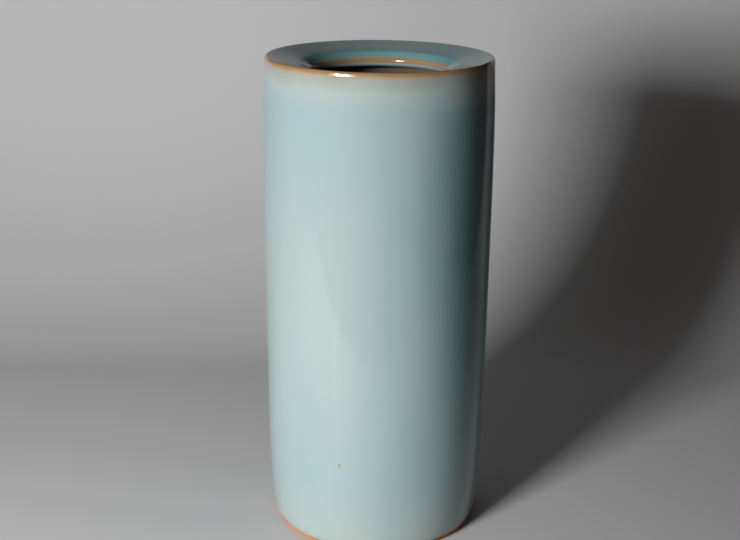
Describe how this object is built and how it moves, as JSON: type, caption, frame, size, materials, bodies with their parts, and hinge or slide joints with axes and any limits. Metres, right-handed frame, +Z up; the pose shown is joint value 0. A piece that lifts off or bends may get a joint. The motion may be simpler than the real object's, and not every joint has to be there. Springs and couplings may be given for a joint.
{
  "type": "brush holder pot",
  "caption": "Tall cylindrical celadon brush pot with an inward-dished mouth ring and a turned foot, for standing writing brushes in.",
  "frame": {"origin": "centre of the foot ring's underside, where the pot stands", "axes": "+Z up along the pot's axis; the pot is turned, so +X and +Y are any two directions square to it"},
  "size_m": [0.096, 0.096, 0.204],
  "materials": {
    "body_clay": "matt stoneware, hidden under the glaze",
    "foot_clay": "matt, unglazed, fired orange-brown",
    "outer_glaze": "glossy blue-green celadon, brown where thin",
    "mouth_glaze": "glossy blue-green celadon, brown on the rim and lip",
    "inner_glaze": "glossy celadon, thinner than outside"
  },
  "bodies": {
    "root": {"foot_ring": "foot_clay", "floor_disc": "body_clay", "body_wall": "body_clay", "mouth_flange": "body_clay", "outer_glaze": "outer_glaze", "mouth_glaze": "mouth_glaze", "inner_glaze": "inner_glaze", "floor_glaze": "inner_glaze", "underside_glaze": "outer_glaze"}
  },
  "joints": []
}
